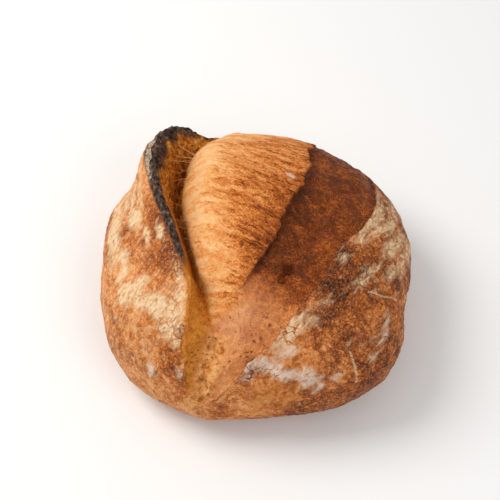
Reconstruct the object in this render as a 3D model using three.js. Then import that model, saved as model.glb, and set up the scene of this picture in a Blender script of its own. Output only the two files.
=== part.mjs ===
// A round sourdough loaf, baked free-standing on a stone, in millimetres with +Z up.
// The slash runs along Y, from its tip low on the front (-Y) to its wide end at the back (+Y).
// Its left edge has curled up into an ear. The crumb bloomed out of the opening beside it.
// The loaf is one baked piece, so it is one solid. Its origin is under the middle of its box.
import * as THREE from "three";
import { mergeVertices } from "three/addons/utils/BufferGeometryUtils.js";

// The plain loaf, before the slash opened it
const HALF_WIDTH = 111.5;
const HALF_LENGTH = 106;
const WAIST_HEIGHT = 45; // height of the widest line
const DOME_RISE = 59; // plain top above the widest line
const FRONT_DIP = 14; // how far the widest line drops at the front tip
const BASE_CUT = 6; // depth of roundness lost to the flat base
const BASE_FULLNESS = 0.66; // 1 is an ellipsoid below the widest line, less is fuller

// Swellings around the side: direction in plan (degrees from +X), spread (degrees), size (mm).
// The one below zero is the hollow under a fold in the right side.
const SWELLINGS = [
  { direction: 152, spread: 28, size: 9 },
  { direction: 252, spread: 34, size: 16 },
  { direction: 336, spread: 28, size: 11 },
  { direction: 68, spread: 28, size: 5 },
  { direction: 9, spread: 16, size: -5 },
];

// The mesh: rows from front to back, and columns across each part of a row
const ROWS = 46;
const COLUMNS = { leftCrust: 15, rim: 3, wall: 4, flank: 6, crown: 5, ledge: 1, band: 6, rightCrust: 14 };

// How far each side of the ear and the lips reaches out over the crust, in mm
const EAR_FLARE = 52;
const LIP_SWELL = 0.9;
const LIP_WIDTH = 5;
const LEDGE_WIDTH = 1.6;

const CRUST = new THREE.MeshStandardMaterial({ color: 0xb4703a, roughness: 0.75, metalness: 0 });

const radians = THREE.MathUtils.degToRad;
const degrees = THREE.MathUtils.radToDeg;
const clamp = THREE.MathUtils.clamp;
const lerp = THREE.MathUtils.lerp;
const ease = (x) => THREE.MathUtils.smoothstep(x, 0, 1);

// A smooth curve through [x, y] knots, as a function of x
function curveThrough(knots) {
  const slopes = knots.map(([x, y], i) => {
    const [xa, ya] = knots[Math.max(i - 1, 0)];
    const [xb, yb] = knots[Math.min(i + 1, knots.length - 1)];
    return (yb - ya) / (xb - xa);
  });
  return (x) => {
    const at = clamp(x, knots[0][0], knots[knots.length - 1][0]);
    const next = Math.max(1, knots.findIndex(([kx]) => kx >= at));
    const [x0, y0] = knots[next - 1];
    const [x1, y1] = knots[next];
    const span = x1 - x0;
    const t = (at - x0) / span;
    const s = 1 - t;
    const ends = y0 * (1 + 2 * t) * s * s + y1 * t * t * (3 - 2 * t);
    return ends + span * (slopes[next - 1] * t * s * s - slopes[next] * t * t * s);
  };
}

// Each curve below takes the way along the slash: 0 at the front end of the loaf, 180 at the back end.
// The first three are angles around the slash's direction, from straight up, negative to the left.
const leftLip = curveThrough([[0, -40], [12, -7], [24, -7.5], [42, -10], [56, -12], [66, -18],
  [80, -33], [92, -42], [104, -49], [118, -57], [130, -56], [150, -45], [180, -40]]);
const rightLip = curveThrough([[0, 70], [8, 42], [17, 33], [32, 28.5], [50, 29.5], [74, 28], [90, 30.5],
  [104, 36.5], [118, 41], [134, 46], [150, 52], [180, 60]]);
const ledgeLine = curveThrough([[0, 20], [44, 14], [56, 5], [64, 5.5], [76, 7.5], [96, 7.5], [113, 8],
  [122, 7.3], [132, 4], [180, 0]]);
// These are heights, depths and widths in mm.
const earHeight = curveThrough([[0, 0.3], [50, 0.6], [64, 2], [80, 8], [100, 15.5], [110, 17.5],
  [118, 16.5], [124, 10.5], [131, 1], [180, 0.3]]);
const rimWidth = curveThrough([[0, 0.5], [30, 1.5], [50, 2], [66, 4.5], [80, 7.5], [100, 9], [118, 9],
  [136, 5], [150, 2], [180, 0.5]]);
const crevicePlace = curveThrough([[0, 1], [12, 6], [25, 11], [36, 15], [44, 15], [52, 12], [60, 9],
  [68, 9], [80, 13], [96, 17], [108, 19], [120, 17], [132, 9], [150, 4], [180, 1]]);
const creviceDepth = curveThrough([[0, 0], [10, 4], [25, 8], [44, 9], [56, 10], [66, 12], [80, 18],
  [100, 22], [112, 18], [124, 9], [134, 4], [165, 1], [180, 0]]);
const bloomHeight = curveThrough([[0, 0], [20, -1], [44, 1], [56, 5], [66, 9], [80, 12], [98, 13.5],
  [112, 11.5], [125, 8.5], [145, 5], [165, 1], [180, 0]]);
const flankWidth = curveThrough([[0, 3], [20, 10], [44, 17], [60, 20], [80, 27], [116, 30], [150, 18],
  [180, 3]]);
const ledgeDrop = curveThrough([[0, 0], [58, 0], [66, 2.2], [80, 4.5], [96, 6], [120, 6], [150, 2],
  [165, 0], [180, 0]]);
// This is the share of the ear's inner side that slopes. The rest of the way to the crevice is level.
const wallSlope = curveThrough([[0, 1], [50, 1], [64, 0.5], [76, 0.35], [180, 0.35]]);

// A point on the plain loaf
function plainPoint(around, along) {
  const x = Math.sin(along) * Math.sin(around);
  const y = -Math.cos(along);
  const z = Math.sin(along) * Math.cos(around);
  const level = Math.max(Math.hypot(x, y), 1e-6);
  const plan = degrees(Math.atan2(y, x));
  let swell = 0;
  for (const { direction, spread, size } of SWELLINGS) {
    const turn = THREE.MathUtils.euclideanModulo(plan - direction + 180, 360) - 180;
    swell += size * Math.exp(-((turn / spread) ** 2));
  }
  const dip = FRONT_DIP * Math.max(0, -y) ** 3;
  const waist = WAIST_HEIGHT - dip;
  const reach = z >= 0 ? level : level ** BASE_FULLNESS;
  const above = waist + (DOME_RISE + dip) * z;
  const below = Math.max(0, waist - (waist + BASE_CUT) * Math.abs(z) ** BASE_FULLNESS);
  return new THREE.Vector3(
    ((HALF_WIDTH + swell) * reach * x) / level,
    ((HALF_LENGTH + swell) * reach * y) / level,
    z >= 0 ? above : below,
  );
}

// The widths and heights of one row across the slash
function rowAt(along) {
  const way = degrees(along);
  const left = radians(leftLip(way));
  const right = radians(rightLip(way));
  const scale = 0.93 * HALF_WIDTH * Math.sin(along); // mm across per radian around
  const width = Math.max((right - left) * scale, 1e-3);
  const rim = Math.min(rimWidth(way), 0.15 * width);
  const crevice = Math.min(crevicePlace(way), 0.35 * width);
  const flank = Math.min(flankWidth(way), 0.35 * width);
  const ledge = clamp((radians(ledgeLine(way)) - left) * scale, crevice + flank, width - LEDGE_WIDTH);
  return { way, left, right, scale, width, rim, crevice, flank, ledge };
}

// Lift off the plain loaf and lean across it, at a distance in mm from the left lip
function opening(row, across) {
  const { way, width, rim, crevice, flank, ledge } = row;
  const ear = earHeight(way);
  const depth = creviceDepth(way);
  if (across < 0) {
    const flare = ease((across + EAR_FLARE) / EAR_FLARE);
    return { lift: ear * flare ** 1.6, lean: -0.12 * ear * flare };
  }
  const small = Math.min(1, width / 30);
  if (across > width) {
    return { lift: LIP_SWELL * small * Math.exp(-(((across - width) / LIP_WIDTH) ** 2)), lean: 0 };
  }
  const top = ear + 0.25 * rim * Math.sqrt(Math.max(0, 1 - ((2 * across) / rim - 1) ** 2));
  const wall = ease((across - 0.75 * rim) / (wallSlope(way) * (crevice - rim) + 0.25 * rim));
  const up = clamp((across - crevice) / flank, 0, 1);
  const dome = lerp(ease(up), Math.sqrt(1 - (1 - up) ** 2) * up ** 0.15, ease((way - 42) / 22));
  const crest = bloomHeight(way) * (1 - ease((across / width - 0.45) / 0.55));
  const drop = ledgeDrop(way) * ease((across - ledge) / LEDGE_WIDTH) * (1 - ease((across - ledge - 20) / 22));
  const tuck = 1.4 * small * Math.exp(-(((width - across) / LIP_WIDTH) ** 2));
  const floor = (crest + depth) * dome - depth - drop - tuck;
  const low = 1 - ease((across - crevice) / (0.4 * flank));
  const undercut = 0.22 * depth * wall * low * Math.min(1, ear / 8);
  return { lift: lerp(top, floor, wall), lean: -undercut - 0.12 * ear * (1 - wall) };
}

// The angle around and the distance across for a column, counted from the middle of the underside
function columnAt(row, column) {
  const { left, right, scale, width, rim, crevice, flank, ledge } = row;
  const stops = [
    [COLUMNS.rim, 0, rim],
    [COLUMNS.wall, rim, crevice],
    [COLUMNS.flank, crevice, crevice + flank],
    [COLUMNS.crown, crevice + flank, ledge],
    [COLUMNS.ledge, ledge, ledge + LEDGE_WIDTH],
    [COLUMNS.band, ledge + LEDGE_WIDTH, width],
  ];
  let rest = column - COLUMNS.leftCrust;
  if (rest <= 0) {
    const share = Math.sin(((column / COLUMNS.leftCrust) * Math.PI) / 2);
    const around = lerp(-Math.PI, left, share);
    return { around, across: Math.min(0, (around - left) * scale) };
  }
  for (const [count, from, to] of stops) {
    if (rest <= count) {
      const across = Math.min(lerp(from, to, rest / count), width);
      return { around: left + across / scale, across };
    }
    rest -= count;
  }
  const share = 1 - Math.cos(((rest / COLUMNS.rightCrust) * Math.PI) / 2);
  const around = lerp(right, Math.PI, share);
  return { around, across: Math.max(width, (around - left) * scale) };
}

// A point on the finished loaf: the plain point, moved out along its normal and over to the side
function loafPoint(around, across, row, along) {
  const step = 1e-3;
  const point = plainPoint(around, along);
  const side = plainPoint(around + step, along).sub(plainPoint(around - step, along)).normalize();
  const before = plainPoint(around, Math.max(along - step, 0));
  const ahead = plainPoint(around, Math.min(along + step, Math.PI)).sub(before);
  const out = new THREE.Vector3().crossVectors(side, ahead).normalize();
  const { lift, lean } = opening(row, across);
  return point.addScaledVector(out, lift).addScaledVector(side, lean);
}

// A ball with its poles on Y is the starting mesh. Every vertex then moves to its place on the loaf.
const columns = Object.values(COLUMNS).reduce((sum, count) => sum + count, 0);
const geometry = new THREE.SphereGeometry(1, columns, ROWS);
const uv = geometry.getAttribute("uv");
const position = geometry.getAttribute("position");
for (let i = 0; i < position.count; i++) {
  const rowNumber = Math.round(uv.getY(i) * ROWS);
  const along = Math.PI * (rowNumber / ROWS);
  const column = (i % (columns + 1)) % columns;
  if (rowNumber === 0 || rowNumber === ROWS) {
    position.setXYZ(i, ...plainPoint(0, along));
    continue;
  }
  const row = rowAt(along);
  const { around, across } = columnAt(row, column);
  position.setXYZ(i, ...loafPoint(around, across, row, along));
}
geometry.deleteAttribute("uv");
geometry.deleteAttribute("normal");
const loafGeometry = mergeVertices(geometry, 1e-3);
loafGeometry.computeBoundingBox();
const middle = loafGeometry.boundingBox.getCenter(new THREE.Vector3());
loafGeometry.translate(-middle.x, -middle.y, 0);
loafGeometry.computeVertexNormals();

const loaf = new THREE.Mesh(loafGeometry, CRUST);
loaf.name = "loaf";

const group = new THREE.Group();
group.name = "sourdough_loaf";
group.add(loaf);
export default group;
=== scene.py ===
import bpy
import numpy as np
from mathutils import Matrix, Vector, noise


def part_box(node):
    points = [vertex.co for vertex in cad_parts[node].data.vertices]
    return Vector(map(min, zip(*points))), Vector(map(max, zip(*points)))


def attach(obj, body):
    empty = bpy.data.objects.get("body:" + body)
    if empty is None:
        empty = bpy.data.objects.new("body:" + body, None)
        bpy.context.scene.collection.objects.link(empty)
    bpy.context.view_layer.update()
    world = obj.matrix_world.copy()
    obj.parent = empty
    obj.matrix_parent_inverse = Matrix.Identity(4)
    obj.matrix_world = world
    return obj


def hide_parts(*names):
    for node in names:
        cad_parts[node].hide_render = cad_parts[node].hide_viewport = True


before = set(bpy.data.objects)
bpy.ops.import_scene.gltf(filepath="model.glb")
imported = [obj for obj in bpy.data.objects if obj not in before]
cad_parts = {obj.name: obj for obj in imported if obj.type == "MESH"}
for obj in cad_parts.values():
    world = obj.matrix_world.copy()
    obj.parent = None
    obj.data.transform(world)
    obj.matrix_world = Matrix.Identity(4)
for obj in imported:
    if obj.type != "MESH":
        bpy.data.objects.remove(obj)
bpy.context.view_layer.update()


# ---- The round of dough -------------------------------------------------------------------
# One piece of wheat dough, proved in a floured basket, turned out and baked on a hot stone.
# It springs into a low dome with a full waist, and its underside stays flat where it sat.
# All sizes of the loaf are in millimetres here, and become metres when the mesh is made.
HALF_WIDTH = 111.5
HALF_LENGTH = 106.0
WAIST_HEIGHT = 45.0
DOME_RISE = 59.0
FRONT_DIP = 14.0
BASE_CUT = 6.0
BASE_FULLNESS = 0.66
SWELLINGS = [  # direction seen from above in degrees, spread in degrees, size
    (152, 28, 9), (252, 34, 16), (336, 28, 11), (68, 28, 5), (9, 16, -5),
]


def ease(x):
    x = np.clip(x, 0.0, 1.0)
    return x * x * (3 - 2 * x)


def blend(a, b, share):
    return a + (b - a) * share


def plain_loaf(around, along):
    """A point on the loaf before the slash opens, by the angles round the slash line and along it."""
    x = np.sin(along) * np.sin(around)
    y = -np.cos(along) + 0 * around
    z = np.sin(along) * np.cos(around)
    level = np.maximum(np.hypot(x, y), 1e-6)
    plan = np.degrees(np.arctan2(y, x))
    swell = 0
    for direction, spread, size in SWELLINGS:
        turn = (plan - direction + 180) % 360 - 180
        swell = swell + size * np.exp(-((turn / spread) ** 2))
    dip = FRONT_DIP * np.maximum(0, -y) ** 3
    waist = WAIST_HEIGHT - dip
    reach = np.where(z >= 0, level, level**BASE_FULLNESS)
    above = waist + (DOME_RISE + dip) * z
    below = np.maximum(0, waist - (waist + BASE_CUT) * np.abs(z) ** BASE_FULLNESS)
    return np.stack([
        (HALF_WIDTH + swell) * reach * x / level,
        (HALF_LENGTH + swell) * reach * y / level,
        np.where(z >= 0, above, below),
    ], axis=-1)


# ---- The slash, its ear and the bloom -------------------------------------------------------
# One slanted cut from a razor. The oven opens it: the left edge curls up and chars into an ear,
# the crumb swells out of the gap, and a torn ledge marks where the crumb let go a second time.
# Each curve takes the way along the slash, from 0 at the front end to 180 at the back end.
def curve_through(*knots):
    """A smooth curve through knots, each with its way along the slash and its value there."""
    at, value = (np.array(part, float) for part in zip(*knots))
    slope = np.empty_like(value)
    slope[1:-1] = (value[2:] - value[:-2]) / (at[2:] - at[:-2])
    slope[0] = (value[1] - value[0]) / (at[1] - at[0])
    slope[-1] = (value[-1] - value[-2]) / (at[-1] - at[-2])

    def curve(x):
        x = np.clip(x, at[0], at[-1])
        i = np.clip(np.searchsorted(at, x) - 1, 0, len(at) - 2)
        span = at[i + 1] - at[i]
        t = (x - at[i]) / span
        s = 1 - t
        ends = value[i] * (1 + 2 * t) * s * s + value[i + 1] * t * t * (3 - 2 * t)
        return ends + span * (slope[i] * t * s * s - slope[i + 1] * t * t * s)

    return curve


left_lip = curve_through((0, -40), (12, -7), (24, -7.5), (42, -10), (56, -12), (66, -18), (80, -33),
                         (92, -42), (104, -49), (118, -57), (130, -56), (150, -45), (180, -40))
right_lip = curve_through((0, 70), (8, 42), (17, 33), (32, 28.5), (50, 29.5), (74, 28), (90, 30.5),
                          (104, 36.5), (118, 41), (134, 46), (150, 52), (180, 60))
ledge_line = curve_through((0, 20), (44, 14), (56, 5), (64, 5.5), (76, 7.5), (96, 7.5), (113, 8),
                           (122, 7.3), (132, 4), (180, 0))
ear_height = curve_through((0, 0.3), (50, 0.6), (64, 2), (80, 8), (100, 15.5), (110, 17.5), (118, 16.5),
                           (124, 10.5), (131, 1), (180, 0.3))
rim_width = curve_through((0, 0.5), (30, 1.5), (50, 2), (66, 4.5), (80, 7.5), (100, 9), (118, 9),
                          (136, 5), (150, 2), (180, 0.5))
crevice_place = curve_through((0, 1), (12, 6), (25, 11), (36, 15), (44, 15), (52, 12), (60, 9), (68, 9),
                              (80, 13), (96, 17), (108, 19), (120, 17), (132, 9), (150, 4), (180, 1))
crevice_depth = curve_through((0, 0), (10, 4), (25, 8), (44, 9), (56, 10), (66, 12), (80, 18),
                              (100, 22), (112, 18), (124, 9), (134, 4), (165, 1), (180, 0))
bloom_height = curve_through((0, 0), (20, -1), (44, 1), (56, 5), (66, 9), (80, 12), (98, 13.5),
                             (112, 11.5), (125, 8.5), (145, 5), (165, 1), (180, 0))
flank_width = curve_through((0, 3), (20, 10), (44, 17), (60, 20), (80, 27), (116, 30), (150, 18),
                            (180, 3))
ledge_drop = curve_through((0, 0), (58, 0), (66, 2.2), (80, 4.5), (96, 6), (120, 6), (150, 2),
                           (165, 0), (180, 0))
wall_slope = curve_through((0, 1), (50, 1), (64, 0.5), (76, 0.35), (180, 0.35))

SKIN_RADIUS = 0.93 * HALF_WIDTH  # round the slash line, on average
END_TAPER = 14  # of the way, over which everything settles at each end of the slash
RIM_LIMIT = 0.15  # these three limits are shares of the opening's width
CREVICE_LIMIT = 0.35
FLANK_LIMIT = 0.35
NARROW_OPENING = 30  # below this width the lips shrink with it
EAR_FLARE = 52.0
EAR_LEAN = 0.12
RIM_BULGE = 0.25
BLOOM_TOP = 0.45  # share of the opening beyond which the bloom falls to the right lip
LIP_SWELL = 0.9
LIP_TUCK = 1.4
LIP_WIDTH = 5.0
LEDGE_WIDTH = 1.1
LEDGE_RUN = 20
LEDGE_FADE = 22
LEDGE_OVERHANG = 0.3
UNDERCUT = 0.22
SWING_GAIN = 1.6  # brings the noise up to about 1
SWING_SEED_STEP = 7.3
ROWS = 300
DENSITY = 1.0


def wander(way, step, seed):
    """A gentle to and fro along the slash, between -1 and 1, with turns about one step of the way apart."""
    lane = seed * SWING_SEED_STEP
    swings = [noise.noise(Vector((w / step, lane, 0.5))) * SWING_GAIN for w in way.ravel()]
    return np.array(swings).reshape(way.shape)


def stray(*waves):
    """How far a torn edge strays, from waves that each have a size in millimetres, a step and a seed."""
    return sum(size * wander(way, step, seed) for size, step, seed in waves)


def bell(x, middle, spread):
    return np.exp(-(((x - middle) / spread) ** 2))


along = np.linspace(0, np.pi, ROWS + 1)[1:-1, None]
way = np.degrees(along)
mm_per_radian = SKIN_RADIUS * np.sin(along)
taper = ease(np.minimum(way, 180 - way) / END_TAPER)
left = np.radians(left_lip(way)) + taper * stray((0.7, 5, 1), (0.5, 2, 2)) / mm_per_radian
right = np.radians(right_lip(way)) + taper * stray((0.9, 9, 3), (0.5, 3, 4)) / mm_per_radian
width = np.maximum((right - left) * mm_per_radian, 1e-3)
rim = np.minimum(rim_width(way), RIM_LIMIT * width)
crevice = np.minimum(crevice_place(way), CREVICE_LIMIT * width)
flank = np.minimum(flank_width(way), FLANK_LIMIT * width)
ragged = taper * blend(0.5, 1.5, ease((way - 72) / 26))
ledge = (np.radians(ledge_line(way)) - left) * mm_per_radian
ledge = ledge + ragged * stray((1.5, 8, 5), (0.55, 3.2, 6), (0.3, 1.3, 7))
ledge = np.clip(ledge, crevice + flank, width - LEDGE_WIDTH)
ear = ear_height(way) + taper * 0.07 * ear_height(way) * wander(way, 3, 8)
depth = crevice_depth(way)

# Columns of the mesh across one row, from the underside up the left crust, over the slash and down again
stops = []


def stretch(count, start, end, spread=None):
    """Adds columns between two lines, evenly unless their spread is given, and says how many."""
    count = max(1, round(count * DENSITY))
    share = np.arange(count) / count
    if spread is not None:
        share = np.interp(share, *spread)
    stops.append(start + (end - start) * share[None, :])
    return count


COARSE_THEN_FINE = ([0, 0.18, 1], [0, 0.38, 1])
FINE_THEN_COARSE = ([0, 0.82, 1], [0, 0.62, 1])
left_under = (-np.pi - left) * mm_per_radian
right_under = (np.pi - left) * mm_per_radian
left_crust_columns = stretch(130, left_under, 0 * width, COARSE_THEN_FINE)
crumb_columns = stretch(12, 0 * width, rim)
crumb_columns += stretch(28, rim, crevice)
crumb_columns += stretch(34, crevice, crevice + flank)
crumb_columns += stretch(44, crevice + flank, ledge)
crumb_columns += stretch(7, ledge, ledge + LEDGE_WIDTH)
crumb_columns += stretch(46, ledge + LEDGE_WIDTH, width)
stretch(120, width, right_under, FINE_THEN_COARSE)
across = np.concatenate(stops, axis=1)
around = left + across / mm_per_radian
share_across = across / width

# The lift off the plain loaf, and the lean to the side that makes the ear overhang
flare = ease((across + EAR_FLARE) / EAR_FLARE)
outside_left = ear * flare**1.6
small = np.minimum(1, width / NARROW_OPENING)
rim_top = ear + RIM_BULGE * rim * np.sqrt(np.clip(1 - (2 * across / rim - 1) ** 2, 0, 1))
wall = (across - 0.75 * rim) / (wall_slope(way) * (crevice - rim) + 0.25 * rim)
wall = blend(np.clip(wall, 0, 1) ** 0.8, ease(wall), ease((way - 46) / 18))
up = np.clip((across - crevice) / flank, 0, 1)
dome = blend(np.sin(up * np.pi / 2), np.sqrt(1 - (1 - up) ** 2) * up**0.15, ease((way - 42) / 22))
crest = bloom_height(way) * (1 - ease((share_across - BLOOM_TOP) / (1 - BLOOM_TOP)))
past_ledge = across - ledge
step = ledge_drop(way)
drop = step * ease(past_ledge / LEDGE_WIDTH) * (1 - ease((past_ledge - LEDGE_RUN) / LEDGE_FADE))
drop = drop - 0.12 * step * bell(past_ledge, -1.6, 2)
tuck = LIP_TUCK * small * bell(across, width, LIP_WIDTH)
opened = blend(rim_top, (crest + depth) * dome - depth - drop - tuck, wall)
outside_right = LIP_SWELL * small * bell(np.maximum(across - width, 0), 0, LIP_WIDTH)
lift = np.where(across < 0, outside_left, np.where(across <= width, opened, outside_right))
undercut = UNDERCUT * depth * wall * (1 - ease((across - crevice) / (0.4 * flank))) * np.minimum(1, ear / 8)
overhang = LEDGE_OVERHANG * step * bell(past_ledge, -0.2, 1.8) * (past_ledge < 0.5 * LEDGE_WIDTH)
in_lean = overhang - undercut - EAR_LEAN * ear * (1 - wall)
lean = np.where(across < 0, -EAR_LEAN * ear * flare, np.where(across <= width, in_lean, 0))

# Which way is outwards at each point, from two small steps on the plain loaf
nudge = 1e-3
sideways = plain_loaf(around + nudge, along) - plain_loaf(around - nudge, along)
sideways /= np.linalg.norm(sideways, axis=-1, keepdims=True)
step_on = plain_loaf(around, np.minimum(along + nudge, np.pi))
onwards = step_on - plain_loaf(around, np.maximum(along - nudge, 0))
outwards = np.cross(sideways, onwards)
outwards /= np.linalg.norm(outwards, axis=-1, keepdims=True)
skin = plain_loaf(around, along) + lift[..., None] * outwards + lean[..., None] * sideways
low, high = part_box("loaf")
MM_PER_METRE = 1000
shift = np.array([(low.x + high.x) / 2, (low.y + high.y) / 2, 0]) * MM_PER_METRE
shift[:2] -= (skin[..., :2].min((0, 1)) + skin[..., :2].max((0, 1))) / 2
skin += shift


# ---- The skin in relief -----------------------------------------------------------------
# The crust dries, blisters and dents in the oven. The torn crumb pulls into fibres across the
# opening, and its darker band is smooth with pores. Nothing of this reaches the flat underside.
MM_PER_WAY = 1.83
LEDGE_START = 57  # of the way, as are the next four
TONGUE_TIP = 47
TEARS_FROM = 74
ROSY_TO = 50
CRUMB_FLOOR_TO = 38
TONGUE_SLOPE = 1.9
DENT_HEIGHT = 1.6
LUMP_HEIGHT = 0.55
BLISTER_HEIGHT = 0.45
BLISTER_SPACING = 3.6
FIBRE_LENGTH = 10
FIBRE_WIDTH = 2.6
STRAND_LENGTH = 15
STRAND_WIDTH = 5
CHAR_HEIGHT = 0.9
CURL_HEIGHT = 0.7
PIT_SPACING = 5.5
PIT_DEPTH = 2.8
FLOOR_HEIGHT = 14  # over which the relief dies out towards the flat underside
CLOUD_GAIN = 1.5  # brings the noise up to about 1
CLOUD_SEED_STEP = 13.7
CELL_SEED_STEP = 9.1


def facing(points):
    """Outward direction of the grid at each point."""
    over = np.roll(points, -1, axis=1) - np.roll(points, 1, axis=1)
    down = np.gradient(points, axis=0)
    out = np.cross(over, down)
    return out / np.maximum(np.linalg.norm(out, axis=-1, keepdims=True), 1e-9)


def clouds(points, size, octaves=1, seed=0):
    """Smooth noise between about -1 and 1, with lumps of one size."""
    flat = points.reshape(-1, 3) / size + seed * CLOUD_SEED_STEP
    lumps = [noise.fractal(Vector(p), 1.0, 2.0, octaves) for p in flat]
    return np.array(lumps).reshape(points.shape[:-1]) * CLOUD_GAIN


def nearest_cell(points, size, seed=0):
    """Distance to the nearest of scattered points, in steps of the size."""
    flat = points.reshape(-1, 3) / size + seed * CELL_SEED_STEP
    near = [noise.voronoi(Vector(p))[0][0] for p in flat]
    return np.array(near).reshape(points.shape[:-1])


def off_line(points, line):
    """Distance from each point to a line of points."""
    line = np.array(line, float)
    best = np.full(points.shape[:-1], 1e9)
    for a, b in zip(line[:-1], line[1:]):
        run = b - a
        share = np.clip(((points - a) @ run) / (run @ run), 0, 1)
        best = np.minimum(best, np.linalg.norm(points - a - share[..., None] * run, axis=-1))
    return best


def while_between(start, start_length, end, end_length):
    """1 between two places along the way, with soft ends."""
    return ease((way - start) / start_length) * (1 - ease((way - end) / end_length))


# Which part of the loaf each point is on, as shares from 0 to 1
on_crust = (across < 0) | (across > width)
in_slash = ~on_crust
off_base = ease((skin[..., 2] - 1) / FLOOR_HEIGHT)
grain = np.stack([across, way * MM_PER_WAY + 0 * across, 0 * across], axis=-1)
opening = ease((way - LEDGE_START) / 6)
past_tongue = across - crevice - TONGUE_SLOPE * (way - TONGUE_TIP)
band = blend(ease((past_tongue + 2) / 9), ease((past_ledge + 0.5) / 1.5), opening) * in_slash
low_band = band * (1 - ease((way - ROSY_TO) / 22)) * (0.35 + 0.65 * ease((width - across) / 34))
crumb_floor = ease((across - crevice + 6) / 4) * (1 - ease((across - crevice - 6) / 6)) * in_slash
crumb_floor *= 1 - ease((way - CRUMB_FLOOR_TO) / 10)
inner_wall = in_slash * (1 - ease((across - crevice + 1.5) / 3)) * (1 - crumb_floor)
bloom = in_slash * (1 - band) * (1 - inner_wall) * (1 - crumb_floor)
torn = ease((way - TEARS_FROM) / 16)

# The height of the relief in millimetres, first on the crust and then part by part in the slash
dents = clouds(skin, 44, 2, 1)
lumps = clouds(skin, 13, 2, 2)
blister_field = ease((clouds(skin, 16, 1, 4) + 0.25) / 0.6)
blisters = blister_field * ease((0.75 - nearest_cell(skin, BLISTER_SPACING, 3)) / 0.5)
crust_relief = DENT_HEIGHT * dents + LUMP_HEIGHT * lumps + BLISTER_HEIGHT * blisters
crust_relief += 0.15 * clouds(skin, 2.6, 2, 5)

fibres = clouds(grain / np.array([FIBRE_LENGTH, FIBRE_WIDTH, 1]), 1, 2, 6)
strand_lumps = clouds(grain / np.array([STRAND_LENGTH, STRAND_WIDTH, 1]), 1, 2, 7)
by_ledge = ease((past_ledge + 22) / 18)
bloom_relief = clouds(skin, 26, 1, 8) + (0.4 - 0.15 * by_ledge) * strand_lumps
bloom_relief += (0.35 - 0.17 * by_ledge) * fibres + 0.3 * by_ledge * clouds(skin, 2.6, 2, 26)
band_relief = 0.9 * clouds(skin, 18, 2, 9) + 0.45 * clouds(skin, 5, 2, 10) + 0.2 * clouds(skin, 2.4, 1, 21)
pits = ease((0.6 - nearest_cell(grain / np.array([1, 1.7, 1]), PIT_SPACING, 11)) / 0.3)
pits *= ease((clouds(skin, 11, 1, 12) + 0.5) / 0.4)
floor_relief = 0.7 * clouds(skin, 7, 2, 13) + 0.4 * clouds(grain / np.array([1, 3, 1]), 2.4, 2, 18)
floor_relief -= PIT_DEPTH * pits
wall_rough = 0.8 * clouds(skin, 5, 2, 14) + 0.9 * clouds(skin * np.array([1, 1, 0.4]), 3.2, 2, 15)
wall_relief = blend(0.35 * clouds(skin, 11, 1, 20), wall_rough * ease(wall / 0.5), torn)
rough_rim = bell(across, 0.5 * rim, np.maximum(rim, 2)) * ease((ear - 3) / 6)
char_relief = CHAR_HEIGHT * rough_rim * clouds(skin, 3.2, 2, 16)

in_relief = (bloom * bloom_relief + band * (1 - crumb_floor) * band_relief
             + crumb_floor * floor_relief + inner_wall * wall_relief)
relief = np.where(on_crust, crust_relief, in_relief) * taper * off_base + char_relief

# Gas holes that opened in the band and at the ledge, and wrinkles where its skin slid
HOLES = [  # way, across, radius, depth
    (76.4, 81, 5.0, 5.6), (70.6, 70, 4.4, 4.2), (91.2, 85.5, 2.0, 2.0), (80, 61, 1.3, 1.5),
]
hole_mask = np.zeros(across.shape)
hole_edge = 1 + 0.3 * clouds(skin, 5, 1, 23)
for hole_way, place, radius, deep in HOLES:
    row = int(np.abs(way[:, 0] - hole_way).argmin())
    column = int(np.abs(across[row] - place).argmin())
    away = np.linalg.norm(skin - skin[row, column], axis=-1) * hole_edge
    inside = 1 - ease((away / radius - 0.45) / 0.6)
    hole_mask = np.maximum(hole_mask, inside)
    relief -= deep * inside
curled_grain = grain * np.array([1, 0.55, 1]) + 2.5 * clouds(skin, 9, 1, 24)[..., None]
curls = np.abs(clouds(curled_grain, 7, 1, 25))
curl_zone = in_slash * while_between(36, 8, 60, 12) * ease((across - crevice - 4) / 6)
curl_zone *= 1 - ease((across - crevice - flank - 12) / 14)
relief += CURL_HEIGHT * curl_zone * (1 - ease(curls / 0.28)) * taper
WRINKLE = [(98, 176, 0), (107, 181, 0), (115, 180, 0), (119, 173, 0)]  # across, millimetres along, flat
WRINKLE_WIDTH = 1.6
WRINKLE_HEIGHT = 0.9
wrinkle = bell(off_line(grain, WRINKLE), 0, WRINKLE_WIDTH)
relief += WRINKLE_HEIGHT * wrinkle * band

# A fold in the right side, where the skin doubled over as the dough was shaped
FOLD = [(80, 22), (83, 34), (86.4, 50), (89.5, 64), (92, 78), (91, 92), (88, 106)]  # way, off the lip
off_lip = np.where(across > width, across - width, np.minimum(across, 0))
crust_plane = np.stack([off_lip, way * MM_PER_WAY + 0 * across, 0 * across], axis=-1)
fold_line = [(off, fold_way * MM_PER_WAY, 0) for fold_way, off in FOLD]
fold_gap = off_line(crust_plane, fold_line)
fold_level = np.interp(off_lip, [off for fold_way, off in FOLD], [fold_way for fold_way, off in FOLD])
below_fold = ease((fold_level - way) * MM_PER_WAY / 6)
fold_here = on_crust * ease((off_lip - 30) / 30)
fold_spread = ease((off_lip - 62) / 26)
fold_depth = 2.4 + 2.2 * fold_spread
fold_width = 2.2 + 5.5 * fold_spread
FOLD_ROLL = 1.9
FOLD_ROLL_WIDTH = 15
relief -= fold_here * fold_depth * bell(fold_gap, 0, fold_width)
relief += fold_here * FOLD_ROLL * below_fold * bell(fold_gap, 0, FOLD_ROLL_WIDTH)

skin = skin + relief[..., None] * facing(skin)
skin[..., 2] = np.maximum(skin[..., 2], 0)


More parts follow.
